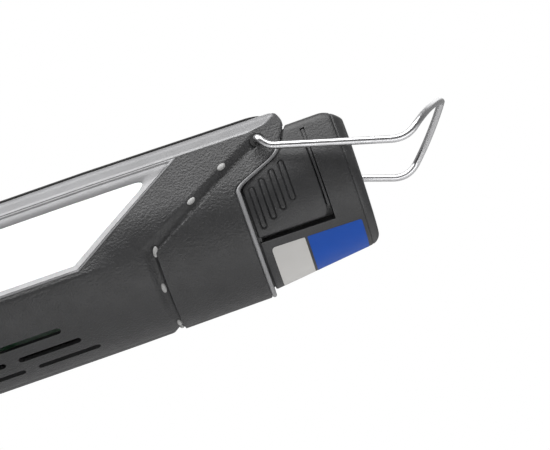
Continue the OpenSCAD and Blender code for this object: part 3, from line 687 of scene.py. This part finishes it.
def bumper():
    rows = np.arange(ROWS)
    grow = 1.15
    profile = [(-0.2, -1.4), (-1.5, -0.9), (-1.5, 0.35), (-1.1, 0.95), (-0.3, grow), (5.5, grow),
               (6.9, 0.95), (7.7, 0.3), (7.9, -1.4)]
    p = on_lattice(np.tile([FRONT_X - 4.0, FRONT_X - 3.0], (ROWS, 1)), rows)
    n = normals(p)[:, 0]
    base = p[:, 0]
    loops = []
    for dx, lift in profile:
        q = base + n * lift
        q[:, 0] = FRONT_X + dx
        q[:, 2] = np.maximum(q[:, 2], 0)
        q[:, 1] = np.maximum(q[:, 1], 0)
        q[0, 1] = q[-1, 1] = 0
        left = q[-2:0:-1].copy()
        left[:, 1] *= -1
        loops.append(np.vstack([q, left]))
    return rings("nose_bumper", loops, closed=True, sharp=50)


stand_in(bumper(), "front_bumper")
dress(soften("head_bezel", "nose_bezel", 0.5), "head_bezel")
dress(soften("power_button", "power_key", 0.7, 4), "power_button")


# ---- Windows ----
BEZEL_PROFILE = [
    (0.0, 1.6), (0.0, 0.0), (0.06, -0.16), (0.18, -0.24), (0.40, -0.24), (0.50, -0.12), (0.56, 0.06),
    (0.66, 0.08), (0.78, -0.02), (2.30, 0.50), (2.45, 0.58), (2.50, 0.72), (2.50, 1.9), (1.4, 2.0),
    (0.4, 2.0),
]


def window_bezel(name, mirrored):
    loops = [window_ring(e, d, 0.35 + 0.62 * e) for e, d in BEZEL_PROFILE]
    return rings(name, loops, mirrored, closed=True, sharp=50)


def diffuser(name, mirrored):
    faces = [(1.5, 2.0), (1.5, 0.85), (1.7, 0.78), (3.0, 0.76), (5.0, 0.7), (7.5, 0.66), (9.5, 0.64),
             (11.0, 0.63)]
    loops = [window_ring(e, d, 0.35 + 0.62 * e if e < 3.5 else 2.5) for e, d in faces]
    return rings(name, loops, mirrored, sharp=50)


for side, mirrored in (("right", False), ("left", True)):
    stand_in(window_bezel(f"bezel_{side}", mirrored), f"window_bezel_{side}")
    stand_in(diffuser(f"panel_{side}", mirrored), f"diffuser_{side}")


# ---- Groove pads ----
def groove_pads():
    """Small soft pads on the groove's floor, on both sides and under the belly."""
    slope = math.atan2(20.4, 40.3)
    # x, z, direction, half length and height
    pads = [(-3.1, 39.3, slope, 1.45, 0.5), (-15.0, 31.9, slope, 1.45, 0.5),
            (-29.9, 20.4, math.radians(75), 1.7, 0.5),
            (STOW_X + 0.2, 9.6, math.pi / 2, 1.7, 0.5), (STOW_X + 0.6, 0.2, math.pi / 2, 2.4, 0.8)]
    half_w = 0.8
    verts, faces = [], []
    for mirror in (1, -1):
        for px, pz, angle, half, high in pads:
            bed = float(groove_depth(np.array(px), np.array(pz)))
            u, w = np.meshgrid(np.linspace(-1, 1, 15), np.linspace(-1, 1, 9), indexing="ij")
            square = np.maximum(np.abs(u), np.abs(w))
            round_off = np.where(square > 0, square / np.maximum(np.hypot(u, w), 1e-9), 0)
            u, w = u * round_off, w * round_off
            height = high * np.sqrt(np.clip(1 - (u ** 2 + w ** 2) * 0.92, 0, 1))
            x = px + half * u * math.cos(angle) - half_w * w * math.sin(angle)
            up = half * u * math.sin(angle) + half_w * w * math.cos(angle)
            grids = []
            for lift in (height, height * 0 - 0.5):
                p = np.empty(u.shape + (3,))
                for index in np.ndindex(u.shape):
                    k = int(round((x[index] - LATTICE[0]) * 2))
                    line = HOUSING[k, :SIDE_1 + 1]
                    run = np.concatenate([[0], np.cumsum(np.hypot(*np.diff(line, axis=0).T))])
                    at = np.interp(pz, line[:, 1], run) + up[index]
                    yz, ahead = (np.array([np.interp(a, run, line[:, i]) for i in range(2)])
                                 for a in (at, at + 0.3))
                    d = (ahead - yz) / np.linalg.norm(ahead - yz)
                    yz = yz + np.array([d[1], -d[0]]) * (lift[index] - bed)
                    p[index] = (x[index], mirror * max(yz[0], 0.06), yz[1])
                grids.append(p)
            base = sum(len(v) for v in verts)
            verts.append(np.vstack([g.reshape(-1, 3) for g in grids]))
            faces += layer_faces(*u.shape, base)
    return tidy_mesh(new_object("rest_pads", np.vstack(verts), faces), 60)


stand_in(groove_pads(), "groove_pads")


# ---- Hanger wire ----
def wire_path():
    """The bent wire's centre line in its own plane, from one pivot pin to the other."""
    jog = math.radians(-38.3)
    u, v = 4.5 * math.cos(jog), 4.5 * math.sin(jog)
    jog_y, bend_y, arm_l, tip_l, tip = 23.2, 27.2, 42.0, 21.0, math.radians(59)
    top, low = np.array([0, jog_y + 0.1, 0]), np.array([u, jog_y, v])
    bend = np.array([u + arm_l, bend_y, v])

    def toward(a, b, run):
        return a + (b - a) * run / np.linalg.norm(b - a)

    def tip_point(t):
        reach, y = tip_l * t, bend_y * (1 - t ** 2.2) ** 0.85
        return np.array([bend[0] + reach * math.cos(tip), y, bend[2] + reach * math.sin(tip)])

    run = 5.0
    start = math.asin(run / tip_l)
    half = np.vstack([
        [[0, 16.5, 0]],
        corner(toward(top, np.zeros(3), 2.3), top, toward(top, low, 2.3), 12),
        corner(toward(low, top, 2.0), low, toward(low, bend, 2.0), 10),
        corner(toward(bend, low, run), bend, tip_point(run / tip_l), 16),
        [tip_point(math.sin(a)) for a in np.linspace(start, math.pi / 2, 40)[1:]],
    ])
    other = half[-2::-1].copy()
    other[:, 1] *= -1
    p = np.vstack([half, other])
    droop = math.radians(18)
    x = p[:, 0] * math.cos(droop) + p[:, 2] * math.sin(droop) + PIVOT[0]
    z = -p[:, 0] * math.sin(droop) + p[:, 2] * math.cos(droop) + PIVOT[1]
    return np.stack([x, p[:, 1], z], axis=1)


def hanger():
    path = wire_path()
    tangent = np.gradient(path, axis=0)
    tangent /= np.linalg.norm(tangent, axis=1, keepdims=True)
    across = np.array([1.0, 0, 0.2])
    side = np.cross(tangent[0], across)
    loops, turns = [], np.linspace(0, 2 * math.pi, 28, endpoint=False)
    for k, (p, t) in enumerate(zip(path, tangent)):
        side = side - t * (side @ t)
        side /= np.linalg.norm(side)
        up = np.cross(t, side)
        loops.append(p + WIRE_R * (np.outer(np.cos(turns), side) + np.outer(np.sin(turns), up)))
    return rings("hanger_bail", loops, sharp=60)


stand_in(hanger(), "hanger_wire")


# ---- Battery pack ----
PACK_SIDE_Z = np.array(sorted(set(np.round(np.linspace(10, 43.4, 84), 3)) | {
    FLAP_Z - 1.3, FLAP_Z - 1.35, FLAP_Z + 2.55, FLAP_Z + 2.6, FLAP_TOP + 0.02, FLAP_TOP + 0.05,
    SLOT_TOP, SLOT_TOP + 0.05, NOTCH_Z, BEND_Z}))
PACK_LOW_ROWS = 30
TOP_FLAT_ROWS = 14
END_TOP_R, END_LOW_R, END_SIDE_R = 7.0, 3.5, 5.0


def pack_y(lz):
    """Half width of the pack's own section at its own height."""
    foot_r, flank_r = FOOT_R - PACK_IN, FLANK_R - PACK_IN
    join = FOOT_Z + foot_r * math.sin(FOOT_END)
    high = FLANK_Z + flank_r * math.sin(LEAN)
    foot = -PACK_NARROW + np.sqrt(np.maximum(foot_r ** 2 - (lz - FOOT_Z) ** 2, 0))
    flank = FLANK_Y - PACK_NARROW + np.sqrt(np.maximum(flank_r ** 2 - (lz - FLANK_Z) ** 2, 0))
    plane = FLANK_Y - PACK_NARROW + flank_r * math.cos(LEAN) - (lz - high) * math.tan(LEAN)
    return np.where(lz < join, foot, np.where(lz < high, flank, plane))


def pack_section(x):
    lift = (x - 2) * math.tan(PACK_RISE)

    def local(z):
        return PACK_FLOOR + (z - PACK_FLOOR - lift) * math.cos(PACK_RISE)

    foot_r = FOOT_R - PACK_IN
    a0 = -math.acos(PACK_NARROW / foot_r)
    a1 = math.asin(np.clip((local(10.0) - FOOT_Z) / foot_r, -1, 1))
    low = arc(-PACK_NARROW, FOOT_Z, foot_r, a0, min(a1, FOOT_END), 40)
    low[:, 1] = PACK_FLOOR + (low[:, 1] - PACK_FLOOR) / math.cos(PACK_RISE) + lift
    edge = np.array([[float(pack_y(local(10.0))), 10.0]])
    if low[-1, 1] < 9.9:
        z = np.linspace(low[-1, 1], 10, 8)[1:-1]
        low = np.vstack([low, np.stack([pack_y(local(z)), z], axis=1)])
    low = resample(np.vstack([low, edge]), PACK_LOW_ROWS)
    side = np.stack([pack_y(local(PACK_SIDE_Z)), PACK_SIDE_Z], axis=1)
    z1 = PACK_SIDE_Z[-1]
    tip = np.array([float(pack_y(local(PACK_TOP))), PACK_TOP])
    bend = corner(side[-1], tip, tip - [3.0, 0], 10)
    flat = np.stack([np.linspace(bend[-1, 0], 0, TOP_FLAT_ROWS), np.full(TOP_FLAT_ROWS, PACK_TOP)], axis=1)
    return np.vstack([low[:-1], side, bend[1:], flat[1:]])


PACK_LATTICE = np.arange(-3, PACK_L + 4, 0.5)
PACK = np.array([pack_section(x) for x in PACK_LATTICE])
P_SIDE_0 = PACK_LOW_ROWS - 1
P_SIDE_1 = P_SIDE_0 + len(PACK_SIDE_Z) - 1
P_ROWS = PACK.shape[1]


def on_pack(x, rows):
    return on_sections(PACK_LATTICE, PACK, x, rows)


def row_z(rows):
    return np.where(rows < P_SIDE_0, 0, PACK[len(PACK) // 2, rows, 1])


def end_radius(n):
    """Radius of the pack's rear edge, by which way the surface faces."""
    up, down = np.clip(n[..., 2], 0, 1), np.clip(-n[..., 2], 0, 1)
    return END_SIDE_R + (END_TOP_R - END_SIDE_R) * up + (END_LOW_R - END_SIDE_R) * down


def rounded_end(p, n):
    """Draws the surface in towards the pack's rear face."""
    r = end_radius(n)
    e = np.clip(PACK_L - p[..., 0], 0, None)
    t = np.clip(1 - e / r, 0, 1)
    return r * (1 - np.sqrt(np.maximum(1 - t ** 2, 0)))


def pocket_depth(x, z, rows):
    """Pocket behind the release button, with the slots and the ridge beside it."""
    side = (rows >= P_SIDE_0) & (rows <= P_SIDE_1)
    inside = (x < SLOT_X) & (z > FLAP_Z - 1.32) & (z < FLAP_TOP + 0.03) & side
    depth = 1.6 + 1.8 * (FLAP_TOP - z) / (FLAP_TOP - FLAP_Z)
    above = (x > FLAP_X) & (x < SLOT_X) & (z >= FLAP_TOP + 0.03) & (z < SLOT_TOP + 0.02) & side
    ridge = (x > RIDGE[0]) & (x < RIDGE[1]) & (z > FLAP_Z + 2.57) & (z < SLOT_TOP - 0.3) & side
    return np.where(ridge, 0.06, np.where(inside, depth, np.where(above, 0.6, 0)))


def pack_case():
    rows = np.arange(P_ROWS)
    z = row_z(rows)
    x_front = rim_x(z) + PACK_GAP
    edges = {round(edge + d, 2) for edge in (FLAP_X, *RIDGE, SLOT_X) for d in (-0.03, 0.03)}
    even = set(np.round(np.arange(20.0, CAP_X, 0.45), 2))
    fixed = np.array(sorted(even | edges | {CAP_X - 0.3, CAP_X - 0.02}))
    t = np.linspace(0, 1, 50)[:-1]
    front = x_front[:, None] + (20.0 - x_front[:, None]) * t
    x = np.concatenate([front, np.tile(fixed, (P_ROWS, 1))], axis=1)
    p = on_pack(x, rows)
    n = normals(p)
    pocket = pocket_depth(x, p[..., 2], rows[:, None])
    depth = rounded_end(p, n) + pocket + 0.14 * smooth((x - CAP_X + 0.35) / 0.35)
    depth = depth + 0.3 * smooth(1 - (x - x_front[:, None]) / 0.4) * (pocket == 0)
    right = p - n * depth[..., None]
    right[0, :, 1] = right[-1, :, 1] = 0
    return closed_tube("battery_case", right)


def closed_tube(name, right, sharp=38):
    """A right half of rows, from the belly's middle to the top's, mirrored and closed at both ends."""
    left = right[-2:0:-1].copy()
    left[..., 1] *= -1
    grid = np.concatenate([right, left])
    loops = [grid[:, j] for j in range(grid.shape[1])]
    n = len(loops[0])
    half = right.shape[0]
    verts = np.vstack(loops)
    faces = []
    for j in range(len(loops) - 1):
        for i in range(n):
            k = (i + 1) % n
            faces.append((j * n + i, j * n + k, (j + 1) * n + k, (j + 1) * n + i))
    last = (len(loops) - 1) * n
    flat_top = half - TOP_FLAT_ROWS
    for base, flip in ((0, True), (last, False)):
        for i in range(flat_top):
            a, b = base + i, base + i + 1
            c, d = base + (n - i - 1) % n, base + (n - i) % n
            quad = (a, b, c, d) if i else (a, b, c)
            faces.append(tuple(reversed(quad)) if flip else quad)
        cap = tuple(base + i for i in range(flat_top, n - flat_top + 1))
        faces.append(tuple(reversed(cap)) if flip else cap)
    return tidy_mesh(new_object(name, verts, faces), sharp)


def pack_cap():
    rows = np.arange(P_ROWS)
    e = np.concatenate([[3.12, 3.05, 2.9, 2.7], np.linspace(2.5, 0.0, 22)])
    x = np.tile(PACK_L - e, (P_ROWS, 1))
    p = on_pack(x, rows)
    n = normals(p)
    depth = rounded_end(p, n) + 0.12 * smooth((e - 2.75) / 0.35)[None, :]
    right = p - n * depth[..., None]
    right[0, :, 1] = right[-1, :, 1] = 0
    return closed_tube("battery_cap", right)


def pack_point(x, z, depth):
    """Points on the pack's right side at x and height z, set in by depth."""
    def y_at(xx, zz):
        lift = (xx - 2) * math.tan(PACK_RISE)
        return pack_y(PACK_FLOOR + (zz - PACK_FLOOR - lift) * math.cos(PACK_RISE))

    x, z, h = np.asarray(x, float), np.asarray(z, float), 0.4
    n = np.stack([-(y_at(x + h, z) - y_at(x - h, z)) / (2 * h), np.ones_like(x),
                  -(y_at(x, z + h) - y_at(x, z - h)) / (2 * h)], axis=-1)
    n /= np.linalg.norm(n, axis=-1, keepdims=True)
    p = np.stack([x, y_at(x, z), z], axis=-1)
    return p - n * np.asarray(depth)[..., None]


RIBS = ((14.3, 35.0), (10.7, 33.3), (7.0, 31.6), (3.3, 29.9))
RIB_L, RIB_W = 12.5, 1.5


def flap(name, mirrored):
    z = np.array(sorted(set(np.round(np.concatenate([
        FLAP_Z + np.array([0, 0.05, 0.15, 0.3, 0.5]), np.linspace(FLAP_Z + 0.7, FLAP_TOP - 0.4, 130),
        FLAP_TOP - np.array([0.25, 0.1, 0])]), 3)) | {NOTCH_Z, BEND_Z}))
    radius = 2.4
    drop = np.clip(1 - (z - FLAP_Z) / radius, 0, 1)
    x1 = FLAP_X - radius * (1 - np.sqrt(np.maximum(1 - drop ** 2, 0)))
    x0 = rim_x(z) + PACK_GAP + 0.12
    t = np.concatenate([[0, 0.004, 0.012, 0.025], np.linspace(0.04, 0.96, 150), [0.975, 0.988, 0.996, 1]])
    x = x0[:, None] + (x1 - x0)[:, None] * t
    zz = np.tile(z[:, None], (1, len(t)))
    near = np.minimum.reduce([x - x0[:, None], x1[:, None] - x, zz - FLAP_Z])
    depth = 0.4 * np.clip(1 - near / 0.4, 0, 1) ** 2 + 0.02
    for px, pz in RIBS:
        half = (RIB_L - RIB_W) / 2
        away = np.hypot(x - px, np.clip(np.abs(zz - (pz - RIB_L / 2)) - half, 0, None))
        ridge, moat = 1 - smooth((away - 0.52) / 0.22), np.exp(-((away - 0.88) / 0.17) ** 2)
        depth = depth - 0.30 * ridge + 0.34 * moat
    outer = pack_point(x, zz, depth)
    inner = pack_point(x, zz, np.full(x.shape, FLAP_T))
    return slab(name, outer, inner, mirrored, sharp=60)


def label(name, span):
    a, b, radius_a, radius_b = span
    near_end = np.array([0, 0.1, 0.4, 0.9])
    x = np.concatenate([a + near_end, np.linspace(a + 1.5, b - 1.5, 40), (b - near_end)[::-1]])
    rows = np.arange(0, P_SIDE_0 + 6)
    p = on_pack(np.tile(x, (len(rows), 1)), rows)
    # the upper edge is level, with rounded corners
    radius = np.where(x < (a + b) / 2, radius_a, radius_b)
    near = np.clip(radius - np.minimum(x - a, b - x), 0, radius)
    top = LABEL_Z - (radius - np.sqrt(radius ** 2 - near ** 2))
    n_up = 36
    q = np.empty((n_up, len(x), 3))
    for j in range(len(x)):
        yz = p[:, j, 1:]
        k = int(np.argmax(yz[:, 1] > top[j]))
        f = (top[j] - yz[k - 1, 1]) / (yz[k, 1] - yz[k - 1, 1])
        yz = np.vstack([yz[:k], yz[k - 1] + (yz[k] - yz[k - 1]) * f])
        q[:, j, 1:] = resample(yz, n_up)
        q[:, j, 0] = x[j]
    n = normals(q)
    q[0, :, 1] = 0
    outer, inner = q + n * 0.05, q - n * 0.15
    outer[0, :, 1] = inner[0, :, 1] = 0
    return slab(name, both_halves(outer[::-1]), both_halves(inner[::-1]), sharp=60)


stand_in(pack_case(), "pack_case")
stand_in(pack_cap(), "pack_cap")
for side, mirrored in (("right", False), ("left", True)):
    stand_in(flap(f"release_{side}_flap", mirrored), f"release_button_{side}")
for node, span in LABELS.items():
    stand_in(label(f"{node}_foil", span), node)


def stem():
    """The pack's stem around its cells, with the blade slots in its nose."""
    r, cell_y, top_z = 9.9, 9.2, 33.6
    low_z = top_z - cell_y * math.tan(math.radians(60))
    loop = np.vstack([
        arc(0, low_z, r, math.radians(-150), math.radians(-30), 24),
        arc(cell_y, top_z, r, math.radians(-30), math.radians(90), 24),
        arc(-cell_y, top_z, r, math.radians(90), math.radians(210), 24),
    ])
    middle = loop.mean(axis=0)

    def at(x, grow):
        d = loop - middle
        d = d * (1 + grow / np.linalg.norm(d, axis=1, keepdims=True))
        return np.column_stack([np.full(len(loop), x), middle + d])

    profile = [(-47, -1.0), (-46.7, -0.4), (-46, 0), (-0.6, 0), (-0.2, -0.5), (17.0, -0.5)]
    obj = rings("battery_stem", [at(x, grow) for x, grow in profile])
    slots = []
    for y in (-5, 0, 5):
        square = np.array([(y - 1.2, 29), (y + 1.2, 29), (y + 1.2, 37), (y - 1.2, 37)], float)
        slots.append(rings("slot", [np.column_stack([np.full(4, x), square]) for x in (-48, -41.2)]))
    return cut(obj, slots)


def neck():
    """The pack's neck, which fills the gap behind the rim."""
    rows = np.arange(P_ROWS)
    x = (rim_x(row_z(rows)) + PACK_GAP)[:, None] + np.array([-2.9, -2.0, 0.0, 0.9])
    p = on_pack(x, rows)
    n = normals(p)
    outer, inner = p - n * 0.9, p - n * 2.0
    for grid in (outer, inner):
        grid[0, :, 1] = grid[-1, :, 1] = 0
    return slab("battery_neck", both_halves(outer), both_halves(inner))


for piece in (neck(), stem()):
    dress(piece, "pack_case")
    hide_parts("pack_case")


# ---- The CAD nodes that stay ----
for node, obj in frame["nodes"].items():
    for slot in obj.material_slots:
        slot.material = FINISHES[SLOT[node]]


# ---- Floor, light and camera ----
def stage():
    size, low = 3.0, -0.16
    floor = bpy.data.objects.new("floor", bpy.data.meshes.new("floor"))
    corners = [(-size, -size, low), (size, -size, low), (size, size, low), (-size, size, low)]
    floor.data.from_pydata(corners, [], [(0, 1, 2, 3)])
    bpy.context.scene.collection.objects.link(floor)
    floor.data.materials.append(finish("floor", (0.86, 0.86, 0.86), 0.7, tint=0.01, patch=3))

    world = bpy.data.worlds.new("studio")
    bpy.context.scene.world = world
    world.use_nodes = True
    tree = world.node_tree
    new, link = tree.nodes.new, tree.links.new
    background = tree.nodes["Background"]
    split = new("ShaderNodeSeparateXYZ")
    link(new("ShaderNodeTexCoord").outputs["Generated"], split.inputs["Vector"])
    ramp = new("ShaderNodeMapRange")
    for key, number in (("From Min", -0.9), ("From Max", 0.35), ("To Min", 0.06), ("To Max", 0.30)):
        ramp.inputs[key].default_value = number
    link(split.outputs["Y"], ramp.inputs["Value"])
    camera_ray = new("ShaderNodeLightPath").outputs["Is Camera Ray"]
    strength = new("ShaderNodeMix")
    strength.inputs["B"].default_value = 1.0
    link(camera_ray, strength.inputs["Factor"])
    link(ramp.outputs["Result"], strength.inputs["A"])
    link(strength.outputs["Result"], background.inputs["Strength"])
    background.inputs["Color"].default_value = (1, 1, 1, 1)


def lamp(name, place, aim, size, power):
    data = bpy.data.lights.new(name, "AREA")
    data.shape, data.size, data.size_y, data.energy = "RECTANGLE", size[0], size[1], power
    obj = bpy.data.objects.new(name, data)
    bpy.context.scene.collection.objects.link(obj)
    obj.location = place
    obj.rotation_euler = (Vector(aim) - Vector(place)).to_track_quat("-Z", "Y").to_euler()


def camera():
    rise, roll, away = math.radians(12), math.radians(19.2), 0.650
    ahead = np.array([0, math.cos(rise), math.sin(rise)])
    flat = np.array([1.0, 0, 0])
    up0 = np.cross(flat, ahead)
    right = math.cos(roll) * flat - math.sin(roll) * up0
    up = math.sin(roll) * flat + math.cos(roll) * up0
    aim = np.array([(6.5276 + RIM_X) * MM, 0, 21.2018 * MM])
    place = aim - away * ahead
    data = bpy.data.cameras.new("view")
    data.sensor_width, data.lens = 36, 136.99636
    data.clip_start, data.clip_end = 0.01, 50
    obj = bpy.data.objects.new("view", data)
    bpy.context.scene.collection.objects.link(obj)
    obj.matrix_world = Matrix([
        [right[0], up[0], -ahead[0], place[0]],
        [right[1], up[1], -ahead[1], place[1]],
        [right[2], up[2], -ahead[2], place[2]],
        [0, 0, 0, 1],
    ])
    bpy.context.scene.camera = obj


stage()
lamp("above", (0.0, -0.16, 0.62), (0.03, 0, 0.03), (0.9, 0.30), 4.8)
lamp("key", (0.0, -0.120, 0.150), (0.0, -0.02, 0.045), (0.40, 0.05), 0.28)
lamp("behind", (0.3, 0.6, 0.5), (0, 0, 0.03), (0.8, 0.4), 1.2)
lamp("below", (0.1, -0.18, -0.15), (0.05, 0, 0.0), (0.5, 0.10), 0.35)
camera()
bpy.context.scene.view_settings.view_transform = "Standard"
